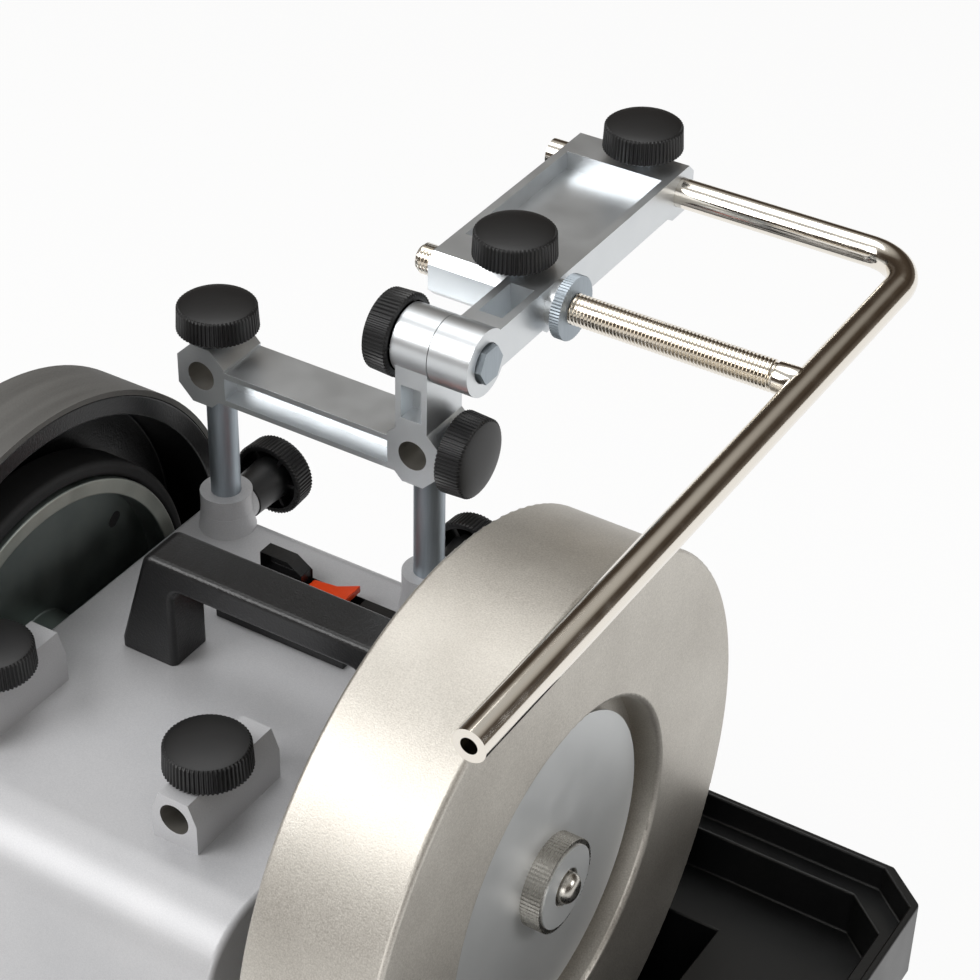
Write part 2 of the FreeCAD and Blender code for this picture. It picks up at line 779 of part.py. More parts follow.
group("motor_stator", [motor_ring("stator_left", "stator_len", "stator_rad", "rotor_rad + air_gap")])
group("motor_end_shields", [
    motor_ring("(stator_left - shield_thick)", "shield_thick", "shield_rad", "rotor_shaft_rad + run_fit"),
    motor_ring(stator_right, "shield_thick", "shield_rad", "rotor_shaft_rad + run_fit")])
rotor = doc.addObject("PartDesign::Body", "motor_rotor")
frame_expressions(rotor, y="motor_y", z=motor_z)
keep(rotor, "motor_rotor")
spin(rotor, [
    ("spindle_end", "0"), ("spindle_end", "spindle_rad"), ("case_left + case_wall", "spindle_rad"),
    ("case_left + case_wall", "rotor_shaft_rad"), ("stator_left + loose_gap", "rotor_shaft_rad"),
    ("stator_left + loose_gap", "rotor_rad"), (f"{stator_right} - loose_gap", "rotor_rad"),
    (f"{stator_right} - loose_gap", "rotor_shaft_rad"), (f"{stator_right} + shield_thick", "rotor_shaft_rad"),
    (f"{stator_right} + shield_thick", "0")])
stator_hole = cylinder("stator_rad", "stator_len", "stator_left", "motor_y", motor_z, "x")
group("motor_cradle", [
    cut(box(start, "motor_y - cradle_half", base_z, "cradle_thick", "2 * cradle_half", f"{motor_z} - {base_z}"),
        stator_hole) for start in ("(stator_left + shield_thick)", f"({stator_right} - shield_thick)")])
group("start_capacitor", [
    cylinder("cap_rad", "cap_len", "stator_left", "cap_y", f"{base_z} + cap_rad", "x")])
inlet = doc.addObject("PartDesign::Body", "cord_inlet")
frame_expressions(inlet, x="inlet_x", y="rear_split_y", z="inlet_z")
keep(inlet, "cord_inlet")
pad(inlet, "XZ", "0", "inlet_flange", circle("0", "0", "inlet_flange_rad"))
pad(inlet, "XZ", "-case_wall", "case_wall", circle("0", "0", "inlet_rad"))
pad(inlet, "XZ", "inlet_flange", "inlet_flange", circle("0", "0", "inlet_rad"))
pocket(inlet, "XZ", "-case_wall", "case_wall + 2 * inlet_flange", circle("0", "0", "inlet_cord_rad"))

# Water trough under the grinding wheel
trough = start_body("water_trough")


def trough_outline(inset):
    outer = f"trough_outer - {inset}"
    half = f"trough_half - {inset}"
    return [(f"trough_inner + {inset}", f"-({half})"), (f"{outer} - trough_cut_x", f"-({half})"),
            (outer, f"-({half}) + trough_cut_y"), (outer, f"{half} - trough_cut_y"),
            (f"{outer} - trough_cut_x", half), (f"trough_inner + {inset}", half)]


pad(trough, "XY", "trough_shelf_z", "trough_rim_z - trough_shelf_z", trough_outline("0"))
pad(trough, "XY", "trough_floor_z", "trough_shelf_z - trough_floor_z",
    rect("trough_inner", "well_outer", "-well_half", "well_half"))
pocket(trough, "XY", "trough_rim_z - trough_ledge_drop", "trough_ledge_drop", trough_outline("trough_wall"))
pocket(trough, "XY", "trough_shelf_z + trough_wall", "trough_rim_z - trough_shelf_z - trough_wall",
       [("trough_inner + trough_wall", "-(trough_half - trough_ledge)"),
        ("trough_outer - trough_ledge - trough_cut_x", "-(trough_half - trough_ledge)"),
        ("trough_outer - trough_ledge", "-(trough_half - trough_ledge) + trough_cut_y"),
        ("trough_outer - trough_ledge", "trough_half - trough_ledge - trough_cut_y"),
        ("trough_outer - trough_ledge - trough_cut_x", "trough_half - trough_ledge"),
        ("trough_inner + trough_wall", "trough_half - trough_ledge")])
pocket(trough, "XY", "trough_floor_z + trough_wall", "trough_shelf_z - trough_floor_z",
       rect("trough_inner + trough_wall", "well_outer - trough_wall", "-well_half + trough_wall",
            "well_half - trough_wall"))
group("trough_magnet", [
    cylinder("magnet_rad", "magnet_thick", "well_outer - magnet_rad * 2", "0",
             "trough_floor_z + trough_wall")])
group("trough_rail", [
    box(case_right, "-rail_half", "rail_z", f"trough_inner - {case_right} - run_fit", "2 * rail_half",
        "rail_height")])

# Sliding support base: beam with two end blocks, post and hub
beam = start_body("base_beam")
for x in sleeve_spots:
    pad(beam, "XZ", "beam_front", "beam_depth",
        octagon(x, "beam_bore_z", "block_half", "block_tall", "block_tall", "block_cut"))
    if x == sleeve_spots[0]:
        pad(beam, "XZ", "beam_front", "beam_depth",
            rect(f"-{half_gap}", half_gap, "beam_bore_z - beam_bottom", "beam_bore_z + beam_top"))
pad(beam, "XZ", "beam_front", "beam_depth", rect("post_left", "post_left + post_width", "beam_bore_z", "hub_z"))
pad(beam, "YZ", "hub_left", "hub_face - hub_left", circle("sleeve_y", "hub_z", "hub_rad"))
pocket(beam, "XZ", "beam_front", "beam_channel",
       rect(f"-{half_gap} + block_half", f"{half_gap} - block_half",
            "beam_bore_z - beam_bottom + beam_flange", "beam_bore_z + beam_top - beam_flange"))
pocket(beam, "XZ", "beam_front", "beam_channel",
       rect("post_left + beam_flange", "post_left + post_width - beam_flange",
            f"{block_top} + beam_flange", "hub_z - hub_rad"))
pocket(beam, "XZ", "beam_front", "beam_depth", *[circle(x, "beam_bore_z", bore_rad) for x in sleeve_spots])
pocket(beam, "XY", "beam_bore_z - block_tall", "leg_seat", *[circle(x, "sleeve_y", "rod_rad") for x in sleeve_spots])
pocket(beam, "XY", "beam_bore_z", "block_tall", circle(sleeve_spots[0], "sleeve_y", stud_hole))
pocket(beam, "YZ", half_gap, "block_half", circle("sleeve_y", "beam_bore_z", stud_hole))
pocket(beam, "YZ", "hub_left", "hub_face - hub_left", circle("sleeve_y", "hub_z", "stud_rad + run_fit"))
group("base_legs", [
    cylinder("rod_rad", "beam_bore_z - block_tall + leg_seat - leg_bottom", x, "sleeve_y", "leg_bottom")
    for x in sleeve_spots])

# Pivot plate that carries the tool support, drawn about the hub axis
plate = start_arm_body("pivot_plate")
top = "barrel_top"
pad(plate, "YZ", "plate_left", "plate_right - plate_left",
    [("near_rod - barrel_half", "-barrel_low + barrel_cut"), ("near_rod - barrel_half + barrel_cut", "-barrel_low"),
     ("near_rod + barrel_half - barrel_cut", "-barrel_low"), ("near_rod + barrel_half", "-plate_low"),
     (f"{far_rod} - barrel_half", "-plate_low"), (f"{far_rod} - barrel_half + barrel_cut", "-barrel_low"),
     (f"{far_rod} + barrel_half - barrel_cut", "-barrel_low"), (f"{far_rod} + barrel_half", "-barrel_low + barrel_cut"),
     (f"{far_rod} + barrel_half", "barrel_top - barrel_cut"), (f"{far_rod} + barrel_half - barrel_cut", top),
     ("near_rod - barrel_half + barrel_cut", top), ("near_rod - barrel_half", "barrel_top - barrel_cut")])
arm_left = "(hub_face + loose_gap)"
pad(plate, "XY", "-plate_low", "barrel_top + plate_low", rect(arm_left, "plate_right", "0", "near_rod"))
pad(plate, "YZ", arm_left, f"plate_right - {arm_left}", circle("0", "0", "hub_rad"))
pad(plate, "YZ", "plate_right", "nut_boss", circle("near_rod", "0", "nut_boss_rad"))
pocket(plate, "XY", "plate_floor", "barrel_top - plate_floor",
       rect("plate_left + plate_wall", "plate_right - plate_wall", "near_rod + barrel_half + loose_gap",
            f"{far_rod} - barrel_half - loose_gap"))
pocket(plate, "XY", "arm_floor", "barrel_top - arm_floor",
       rect(f"{arm_left} + arm_wall", "plate_right - arm_wall", "arm_clear", "near_rod - barrel_half"))
pocket(plate, "YZ", "plate_left", "plate_right + nut_boss - plate_left",
       circle("near_rod", "0", bore_rad), circle(far_rod, "0", bore_rad))
pocket(plate, "YZ", arm_left, f"plate_right - {arm_left}", circle("0", "0", "stud_rad"))
pocket(plate, "YZ", "plate_right - bolt_recess", "bolt_recess", circle("0", "0", "bolt_head_rad + loose_gap"))
pocket(plate, "XY", "0", "barrel_top", circle("plate_knob_x", "near_rod", stud_hole),
       circle("plate_knob_x", far_rod, stud_hole))

bolt = start_arm_body("pivot_bolt")
hexagon = [(f"bolt_head_rad * {round(math.cos(math.radians(60 * i)), 6)}",
            f"bolt_head_rad * {round(math.sin(math.radians(60 * i)), 6)}") for i in range(6)]
pad(bolt, "YZ", "plate_right - bolt_recess", "bolt_head", hexagon)
pad(bolt, "YZ", "hub_left - stud_hold", "plate_right - bolt_recess - hub_left + stud_hold",
    circle("0", "0", "stud_rad"))

# Tool support: bent bar with a plain leg, a threaded leg and its adjusting nut
bar = start_arm_body("support_bar")
path = bar.newObject("Sketcher::SketchObject", "bar_path")
path.AttachmentSupport = ([f for f in bar.Origin.OriginFeatures if f.Role == "XY_Plane"][0], [""])
path.MapMode = "FlatFace"
bend_x = number("bar_x - bar_bend")
bend_y = number(f"{far_rod} - bar_bend")
start_y = number("bar_front")
path.addGeometry(Part.LineSegment(Vector(bend_x + number("bar_bend"), start_y, 0),
                                  Vector(bend_x + number("bar_bend"), bend_y, 0)))
path.addGeometry(Part.ArcOfCircle(Part.Circle(Vector(bend_x, bend_y, 0), Vector(0, 0, 1), number("bar_bend")),
                                  0, math.pi / 2))
path.addGeometry(Part.LineSegment(Vector(bend_x, bend_y + number("bar_bend"), 0),
                                  Vector(number("stub_end"), bend_y + number("bar_bend"), 0)))
path.addConstraint(Sketcher.Constraint("Tangent", 0, 2, 1, 1))
path.addConstraint(Sketcher.Constraint("Tangent", 1, 2, 2, 1))
path.addConstraint(Sketcher.Constraint("Vertical", 0))
path.addConstraint(Sketcher.Constraint("Horizontal", 2))
place_point(path, 0, 1, ("bar_x", "bar_front"))
place_point(path, 2, 2, ("stub_end", far_rod))
bend_rule = path.addConstraint(Sketcher.Constraint("Radius", 1, number("bar_bend")))
path.setExpression(f"Constraints[{bend_rule}]", bound("bar_bend"))
round_bar = sketch_on(bar, "XZ", "bar_front", [circle("bar_x", "0", "rod_rad")])
pipe = bar.newObject("PartDesign::AdditivePipe", "bar_pipe")
pipe.Profile = round_bar
pipe.Spine = path
doc.recompute()
pocket(bar, "XZ", "bar_front", "bar_hole_depth", circle("bar_x", "0", "bar_hole_rad"))

leg = start_arm_body("threaded_leg")
pad(leg, "YZ", "stub_end", "collar_start - stub_end", circle("near_rod", "0", "rod_rad"))
pad(leg, "YZ", "collar_start", "bar_x - collar_seat - collar_start", circle("near_rod", "0", "collar_rad"))
pocket(leg, "XZ", "near_rod - rod_rad * 2", "rod_rad * 4", circle("bar_x", "0", "rod_rad"))


def arm_point(x, y, z):
    return arm_frame().multVec(Vector(number(x), number(y), number(z)))


adjuster = ribbed_nut("adjusting_nut", "adjust_rad", "adjust_rib", "adjust_ribs", "adjust_thick", bore_rad, "x",
                      arm_point("plate_right + nut_boss + loose_gap", "near_rod", "0"))
adjuster.Placement = Placement(adjuster.Placement.Base, arm_frame().Rotation.multiply(turns["x"]))


# Clamp knobs: ribbed and crowned above, hollow with webs below
def knob_shape():
    radius = number("knob_rad")
    low = number("knob_lift")
    side = number("knob_side")
    crown = number("knob_crown")
    tall = side + crown
    ribs = ribbed_outline(radius, number("knob_rib"), int(number("knob_rib_count")))
    blank = ribs.extrude(Vector(0, 0, low + tall))
    bevel = number("knob_shoulder")
    line = [Vector(0, 0, low), Vector(radius, 0, low), Vector(radius, 0, low + side),
            Vector(radius - bevel, 0, low + side + bevel), Vector(0, 0, low + tall), Vector(0, 0, low)]
    crowned = Part.Face(Part.makePolygon(line)).revolve(Vector(), Vector(0, 0, 1), 360)
    blank = blank.common(crowned)
    inner = radius - number("knob_wall")
    hollow = Part.makeCylinder(inner, number("knob_hollow"), Vector(0, 0, low))
    hub = Part.makeCylinder(number("knob_hub_rad"), number("knob_hollow"), Vector(0, 0, low))
    webs = []
    thick = number("knob_web")
    drop = number("knob_web_drop")
    count = int(number("knob_web_count"))
    for i in range(count):
        web = Part.makeBox(inner, thick, number("knob_hollow") - drop, Vector(0, -thick / 2, low + drop))
        web.rotate(Vector(), Vector(0, 0, 1), 360 * i / count)
        webs.append(web)
    blank = blank.cut(hollow.cut(hub.multiFuse(webs)))
    return blank.cut(Part.makeCylinder(number("stud_rad"), number("stud_hold")))


knob = knob_shape()


def add_knob(label, frame):
    item = doc.addObject("Part::Feature", label)
    item.Shape = knob
    item.Placement = frame
    return keep(item, label)


def add_stud(label, frame, depth):
    item = doc.addObject("Part::Cylinder", label)
    item.setExpression("Radius", bound("stud_rad"))
    item.setExpression("Height", bound(f"{depth} + stud_hold"))
    item.Placement = frame.multiply(Placement(Vector(0, 0, -number(depth)), Rotation()))
    return keep(item, label)


front_depth = f"front_sleeve_rise - front_bore_rise - {bore_rad} - loose_gap"
rear_depth = f"{rear_seat_y} - sleeve_y - {bore_rad} - loose_gap"
block_depth = f"block_tall + beam_knob_gap - {bore_rad} - loose_gap"
side_depth = f"block_half - {bore_rad} - loose_gap"
plate_depth = "barrel_top + plate_knob_gap - rod_rad - loose_gap"
plate_seat = "barrel_top + plate_knob_gap"
beam_seat = f"{block_top} + beam_knob_gap"
clamps = [
    ("front_left", Placement(frame_point(sleeve_spots[0], "front_knob_y", front_seat_z), turns["z"]), front_depth),
    ("front_right", Placement(frame_point(sleeve_spots[1], "front_knob_y", front_seat_z), turns["z"]), front_depth),
    ("rear_left", Placement(frame_point(sleeve_spots[0], rear_seat_y, "clamp_z"), turns["y"]), rear_depth),
    ("rear_right", Placement(frame_point(sleeve_spots[1], rear_seat_y, "clamp_z"), turns["y"]), rear_depth),
    ("beam_left", Placement(frame_point(sleeve_spots[0], "sleeve_y", beam_seat), turns["z"]), block_depth),
    ("beam_right", Placement(frame_point(block_right, "sleeve_y", "beam_bore_z"), turns["x"]), side_depth),
    ("plate_near", Placement(arm_point("plate_knob_x", "near_rod", plate_seat), arm_frame().Rotation), plate_depth),
    ("plate_far", Placement(arm_point("plate_knob_x", far_rod, plate_seat), arm_frame().Rotation), plate_depth),
]
for name, frame, depth in clamps:
    add_knob(name + "_knob", frame)
    add_stud(name + "_stud", frame, depth)
add_knob("pivot_knob", Placement(frame_point("hub_left", "sleeve_y", "hub_z"), turns["-x"]))

doc.recompute()
for item in doc.Objects:
    if "Invalid" in item.State or "Error" in item.State:
        raise RuntimeError(f"{item.Label} did not compute: {item.State}")
os.makedirs("parts", exist_ok=True)
for item in parts:
    if item.Shape.isNull() or not item.Shape.isValid():
        raise RuntimeError(f"{item.Label} has no valid shape")
    item.Shape.exportStep(f"parts/{item.Label}.step")
    limits = item.Shape.BoundBox
    print(f"{item.Label}: {len(item.Shape.Solids)} solid(s), X {limits.XMin:.1f} to {limits.XMax:.1f}, "
          f"Y {limits.YMin:.1f} to {limits.YMax:.1f}, Z {limits.ZMin:.1f} to {limits.ZMax:.1f}")
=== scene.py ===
import bpy
import json
import math
from mathutils import Matrix, Vector


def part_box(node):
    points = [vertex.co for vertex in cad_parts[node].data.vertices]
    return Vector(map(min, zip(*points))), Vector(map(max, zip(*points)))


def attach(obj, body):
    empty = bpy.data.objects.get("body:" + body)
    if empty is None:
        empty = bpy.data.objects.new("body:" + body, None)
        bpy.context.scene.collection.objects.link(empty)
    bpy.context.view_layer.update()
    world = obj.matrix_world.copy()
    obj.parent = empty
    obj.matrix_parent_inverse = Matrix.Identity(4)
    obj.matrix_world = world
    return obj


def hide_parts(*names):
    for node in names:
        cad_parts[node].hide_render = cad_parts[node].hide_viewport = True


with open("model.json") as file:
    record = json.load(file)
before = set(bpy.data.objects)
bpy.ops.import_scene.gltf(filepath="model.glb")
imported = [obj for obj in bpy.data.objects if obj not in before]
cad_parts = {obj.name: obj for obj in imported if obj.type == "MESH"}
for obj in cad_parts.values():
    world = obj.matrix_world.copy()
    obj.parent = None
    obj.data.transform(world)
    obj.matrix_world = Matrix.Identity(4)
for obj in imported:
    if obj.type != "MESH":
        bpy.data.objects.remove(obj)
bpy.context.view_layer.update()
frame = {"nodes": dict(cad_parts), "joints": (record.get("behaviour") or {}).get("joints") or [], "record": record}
nodes = frame["nodes"]
millimetre = 0.001
scene = bpy.context.scene
scene.view_settings.view_transform = "Standard"

# camera fitted to the photograph's perspective
shot = {
    "place": (389.6, -607.35, 823.5),
    "azimuth": 31.13,
    "elevation": 35.65,
    "roll": 1.41,
    "focalPixels": 2508.37,
    "framePixels": 980,
    "sensor": 36,
    "farPlane": 20,
}


def addCamera():
    az, el, roll = (math.radians(shot[k]) for k in ("azimuth", "elevation", "roll"))
    back = Vector((math.sin(az) * math.cos(el), -math.cos(az) * math.cos(el), math.sin(el)))
    level = Vector((math.cos(az), math.sin(az), 0))
    upright = back.cross(level)
    right = math.cos(roll) * level + math.sin(roll) * upright
    up = back.cross(right)
    place = Vector(shot["place"]) * millimetre
    camera = bpy.data.objects.new("camera", bpy.data.cameras.new("camera"))
    camera.matrix_world = Matrix((
        (right.x, up.x, back.x, place.x), (right.y, up.y, back.y, place.y),
        (right.z, up.z, back.z, place.z), (0, 0, 0, 1)))
    camera.data.sensor_width = shot["sensor"]
    camera.data.lens = shot["focalPixels"] / shot["framePixels"] * shot["sensor"]
    camera.data.clip_end = shot["farPlane"]
    scene.collection.objects.link(camera)
    scene.camera = camera


addCamera()
print("camera placed")

# materials
skinDepth = 0.2 * millimetre  # height of the finest bumps


def linear(hexCode):  # sRGB hex code to linear colour
    parts = [int(hexCode[i:i + 2], 16) / 255 for i in (1, 3, 5)]
    return [p / 12.92 if p <= 0.04045 else ((p + 0.055) / 1.055) ** 2.4 for p in parts] + [1]


def addNode(tree, kind, inputs=None, **settings):
    node = tree.nodes.new(kind)
    for key, value in settings.items():
        setattr(node, key, value)
    for key, value in (inputs or {}).items():
        socket = node.inputs[key]
        if isinstance(value, bpy.types.NodeSocket):
            tree.links.new(value, socket)
        else:
            socket.default_value = value
    return node


def startMaterial(name, **shaderInputs):
    material = bpy.data.materials.new(name)
    material.use_nodes = True
    tree = material.node_tree
    shader = tree.nodes["Principled BSDF"]
    for key, value in shaderInputs.items():
        shader.inputs[key.replace("_", " ")].default_value = value
    place = addNode(tree, "ShaderNodeTexCoord").outputs["Object"]
    return material, tree, shader, place


def perMetre(sizeMm):
    return 1 / (sizeMm * millimetre)


def wireLook(tree, shader, look, tone, gloss, relief):  # colour and gloss drift a little, and small bumps stand out
    mix = addNode(tree, "ShaderNodeMix", {"Factor": tone, 6: linear(look["dark"]), 7: linear(look["pale"])},
                  data_type="RGBA")
    tree.links.new(mix.outputs[2], shader.inputs["Base Color"])
    span = look.get("glossSpan", (0, 1))
    sheen = addNode(tree, "ShaderNodeMapRange", {"Value": gloss, "From Min": span[0], "From Max": span[1],
                                                 "To Min": look["rough"][0], "To Max": look["rough"][1]})
    tree.links.new(sheen.outputs[0], shader.inputs["Roughness"])
    dents = addNode(tree, "ShaderNodeBump", {"Height": relief, "Strength": look["bump"],
                                             "Distance": look.get("depth", skinDepth)})
    tree.links.new(dents.outputs[0], shader.inputs["Normal"])


def speckledPaint():  # die casting in satin silver paint: fine metal flake and a slight orange peel
    look = {"pale": "#C6C6C8", "dark": "#B1B2B5", "cloudMm": 60, "peelMm": 1.6, "metallic": 0.15, "coat": 0.12,
            "coatRough": 0.3, "span": (0.6, 1.4), "rough": (0.34, 0.5), "bump": 0.12,
            "flakeMm": 0.5}  # real flake is finer; drawn coarser so it shows
    material, tree, shader, place = startMaterial(
        "silver_paint_on_casting", Metallic=look["metallic"],
        Coat_Weight=look["coat"], Coat_Roughness=look["coatRough"])
    flake = addNode(tree, "ShaderNodeTexNoise", {"Vector": place, "Scale": perMetre(look["flakeMm"]), "Detail": 2.0})
    cloud = addNode(tree, "ShaderNodeTexNoise", {"Vector": place, "Scale": perMetre(look["cloudMm"]), "Detail": 3.0})
    peel = addNode(tree, "ShaderNodeTexNoise", {"Vector": place, "Scale": perMetre(look["peelMm"]), "Detail": 2.0})
    both = addNode(tree, "ShaderNodeMath", {0: flake.outputs["Fac"], 1: cloud.outputs["Fac"]}, operation="ADD")
    tone = addNode(tree, "ShaderNodeMapRange", {"Value": both.outputs[0], "From Min": look["span"][0],
                                                "From Max": look["span"][1]})
    wireLook(tree, shader, look, tone.outputs[0], flake.outputs["Fac"], peel.outputs["Fac"])
    return material


def grainedPlastic(name, **look):  # moulded: fine grain, and gloss that is a little uneven
    look = {"wearMm": 24, **look}
    material, tree, shader, place = startMaterial(name)
    grain = addNode(tree, "ShaderNodeTexNoise", {"Vector": place, "Scale": perMetre(look["grainMm"]), "Detail": 3.0})
    wear = addNode(tree, "ShaderNodeTexNoise", {"Vector": place, "Scale": perMetre(look["wearMm"]), "Detail": 4.0})
    wireLook(tree, shader, look, wear.outputs["Fac"], wear.outputs["Fac"], grain.outputs["Fac"])
    return material


def castMetal(name, **look):  # cloudy tone and a fine skin, its grain drawn coarse enough to show
    look = {"metallic": 1.0, "cloudMm": 14, "glossSpan": (0.3, 0.7), **look}
    material, tree, shader, place = startMaterial(name, Metallic=look["metallic"])
    cloud = addNode(tree, "ShaderNodeTexNoise", {"Vector": place, "Scale": perMetre(look["cloudMm"]), "Detail": 5.0})
    grain = addNode(tree, "ShaderNodeTexNoise", {"Vector": place, "Scale": perMetre(look["grainMm"]), "Detail": 3.0})
    wireLook(tree, shader, look, cloud.outputs["Fac"], cloud.outputs["Fac"], grain.outputs["Fac"])
    return material


def gritCoat():  # steel wheel under a nickel-bonded grit coat: warm grey, finely speckled, half matt
    look = {"pale": "#D2CEC6", "dark": "#ACA79F", "cloudMm": 35, "cloudShare": 0.35, "span": (0.3, 0.7),
            "metallic": 0.85, "rough": (0.36, 0.56), "bump": 0.25,
            "gritMm": 0.55}  # real grit is finer; drawn coarser so it shows
    material, tree, shader, place = startMaterial("grit_coated_steel", Metallic=look["metallic"])
    grit = addNode(tree, "ShaderNodeTexNoise", {"Vector": place, "Scale": perMetre(look["gritMm"]), "Detail": 2.0})
    cloud = addNode(tree, "ShaderNodeTexNoise", {"Vector": place, "Scale": perMetre(look["cloudMm"]), "Detail": 3.0})
    blend = addNode(tree, "ShaderNodeMix", {"Factor": look["cloudShare"], "A": grit.outputs["Fac"],
                                            "B": cloud.outputs["Fac"]})
    tone = addNode(tree, "ShaderNodeMapRange", {"Value": blend.outputs[0], "From Min": look["span"][0],
                                                "From Max": look["span"][1]})
    wireLook(tree, shader, look, tone.outputs[0], grit.outputs["Fac"], grit.outputs["Fac"])
    return material


def polishedPlate():  # chromed and buffed bar: mirror with a warm tint and faint smears
    look = {"tint": "#EAE4DA", "smearMm": 9, "span": (0.35, 0.7), "rough": (0.1, 0.17)}
    material, tree, shader, place = startMaterial(
        "polished_chrome_plate", Metallic=1.0, Base_Color=linear(look["tint"]))
    smear = addNode(tree, "ShaderNodeTexNoise", {"Vector": place, "Scale": perMetre(look["smearMm"]), "Detail": 4.0})
    sheen = addNode(tree, "ShaderNodeMapRange", {
        "Value": smear.outputs["Fac"], "From Min": look["span"][0], "From Max": look["span"][1],
        "To Min": look["rough"][0], "To Max": look["rough"][1]})
    tree.links.new(sheen.outputs[0], shader.inputs["Roughness"])
    return material


def brushedMetal(name, **look):  # turned or drawn: fine lines one way, drawn coarse enough to show
    look = {"bump": 0.06, **look}
    material, tree, shader, place = startMaterial(name, Metallic=1.0)
    turn = addNode(tree, "ShaderNodeMapping", {"Vector": place, "Scale": look["stretch"]})
    lines = addNode(tree, "ShaderNodeTexNoise", {"Vector": turn.outputs[0], "Scale": perMetre(look["lineMm"]),
                                                 "Detail": 3.0})
    wireLook(tree, shader, look, lines.outputs["Fac"], lines.outputs["Fac"], lines.outputs["Fac"])
    return material


def wornLeather():  # chrome-tanned strap, greyed by honing paste: pores and rubbed bands round the rim
    look = {"pale": "#6B6A67", "dark": "#4B4A48", "bandMm": 5, "stretch": (1, 0.05, 0.05), "rough": (0.5, 0.75),
            "bump": 0.25, "depth": 0.3 * millimetre,
            "poreMm": 1.1}  # real pores are finer; drawn coarser so they show
    material, tree, shader, place = startMaterial("honing_leather")
    pores = addNode(tree, "ShaderNodeTexVoronoi", {"Vector": place, "Scale": perMetre(look["poreMm"])})
    turn = addNode(tree, "ShaderNodeMapping", {"Vector": place, "Scale": look["stretch"]})
    bands = addNode(tree, "ShaderNodeTexNoise", {"Vector": turn.outputs[0], "Scale": perMetre(look["bandMm"]),
                                                 "Detail": 3.0})
    wireLook(tree, shader, look, bands.outputs["Fac"], bands.outputs["Fac"], pores.outputs["Distance"])
    return material


silverPaint = speckledPaint()
blackKnob = grainedPlastic("moulded_black_nylon", pale="#171718", dark="#0E0E0F",  # matt black, close grain
                           grainMm=0.35, rough=(0.38, 0.5), bump=0.15)
blackHandle = grainedPlastic("grained_black_abs", pale="#151516", dark="#0D0D0E",  # coarse grain breaks up the shine
                             grainMm=0.9, rough=(0.28, 0.38), bump=0.7)
troughPlastic = grainedPlastic("moulded_black_polypropylene", pale="#0F1011", dark="#08090A",  # smooth, half gloss
                               grainMm=1.2, rough=(0.28, 0.42), bump=0.1)
housingPlastic = grainedPlastic("textured_grey_abs", pale="#3A3B3D", dark="#2E2F31",  # dull grey, even texture
                                grainMm=0.8, rough=(0.5, 0.62), bump=0.3)
orangeRocker = grainedPlastic("moulded_orange_polycarbonate", pale="#F04E22", dark="#DB4218",  # bright and glossy
                              grainMm=1.5, rough=(0.22, 0.32), bump=0.05)
blackRubber = grainedPlastic("vulcanised_black_rubber", pale="#1F1F20", dark="#141415",  # dull, dusty black
                             grainMm=0.9, rough=(0.6, 0.75), bump=0.3)
dieCast = castMetal("die_cast_zinc_alloy", pale="#DFE2E4", dark="#D0D4D7",  # bright satin silver, nearly even
                    grainMm=0.5, rough=(0.3, 0.36), bump=0.1, metallic=0.85)
boreShadeMaterial = castMetal("bore_wall_painted_shade", pale="#A19E98", dark="#86837D",  # painted shade: darker, warm grey wall of a hole, standing for the shade inside it
                       grainMm=0.6, rough=(0.36, 0.46), bump=0.1, metallic=0.7)
dishCast = castMetal("cast_zinc_dish", pale="#9AA29F", dark="#7A827F",  # cloudy mid grey, slightly green
                     grainMm=0.6, rough=(0.38, 0.5), bump=0.15)
turnedRim = castMetal("turned_zinc_rim", pale="#C9CCC4", dark="#8F948C",  # pale, with speckled patches
                      grainMm=1.2, rough=(0.42, 0.58), bump=0.2, metallic=0.8)
ironCast = castMetal("lacquered_motor_iron", pale="#6E7073", dark="#55575A",  # dark grey, uneven skin
                     grainMm=0.9, rough=(0.4, 0.55), bump=0.2)
bronzeCast = castMetal("sintered_bronze", pale="#B58B52", dark="#94703F",  # brown gold, fine pores
                       grainMm=0.4, rough=(0.35, 0.5), bump=0.15)
satinDisc = castMetal("satin_anodised_aluminium", pale="#D6D8D9", dark="#CDD0D1",  # soft, even silver
                      grainMm=0.45, rough=(0.4, 0.46), bump=0.08, metallic=0.55)
zincPlate = brushedMetal("zinc_plated_steel", pale="#B4BCC3", dark="#99A2A9",  # cool grey, faint upright lines
                         stretch=(1, 1, 0.05), lineMm=0.6, rough=(0.44, 0.56))
turnedSteel = brushedMetal("turned_stainless_steel", pale="#CFCBC4", dark="#A9A59E",  # bright, lines round the axle
                           stretch=(1, 0.15, 0.15), lineMm=0.5, rough=(0.2, 0.34))
gritSteel = gritCoat()
chromePlate = polishedPlate()
honingLeather = wornLeather()
print("materials made")

finishes = {
    "top_casting": silverPaint, "base_housing": housingPlastic, "bottom_plate": zincPlate,
    "rubber_feet": blackRubber, "foot_screws": zincPlate, "carry_handle": blackHandle,
    "handle_screws": zincPlate, "switch_bezel": blackHandle, "switch_body": blackHandle,
    "shaft_bushes": bronzeCast, "motor_stator": ironCast, "motor_end_shields": dieCast,
    "motor_cradle": zincPlate, "start_capacitor": blackHandle, "cord_inlet": blackKnob,
    "trough_rail": zincPlate, "switch_rocker": orangeRocker, "main_shaft": turnedSteel,
    "grinding_wheel": gritSteel, "wheel_washer": zincPlate, "wheel_face_disc": satinDisc,
    "drive_wheel": dishCast, "friction_ring": blackRubber, "honing_wheel": blackHandle,
    "leather_strap": honingLeather, "honing_nut": blackKnob, "quick_nut": turnedSteel,
    "quick_nut_plate": satinDisc, "motor_rotor": turnedSteel, "water_trough": troughPlastic,
    "trough_magnet": ironCast, "base_beam": dieCast, "base_legs": zincPlate, "pivot_plate": dieCast,
    "pivot_bolt": zincPlate, "support_bar": chromePlate, "threaded_leg": chromePlate,
    "adjusting_nut": zincPlate,
}
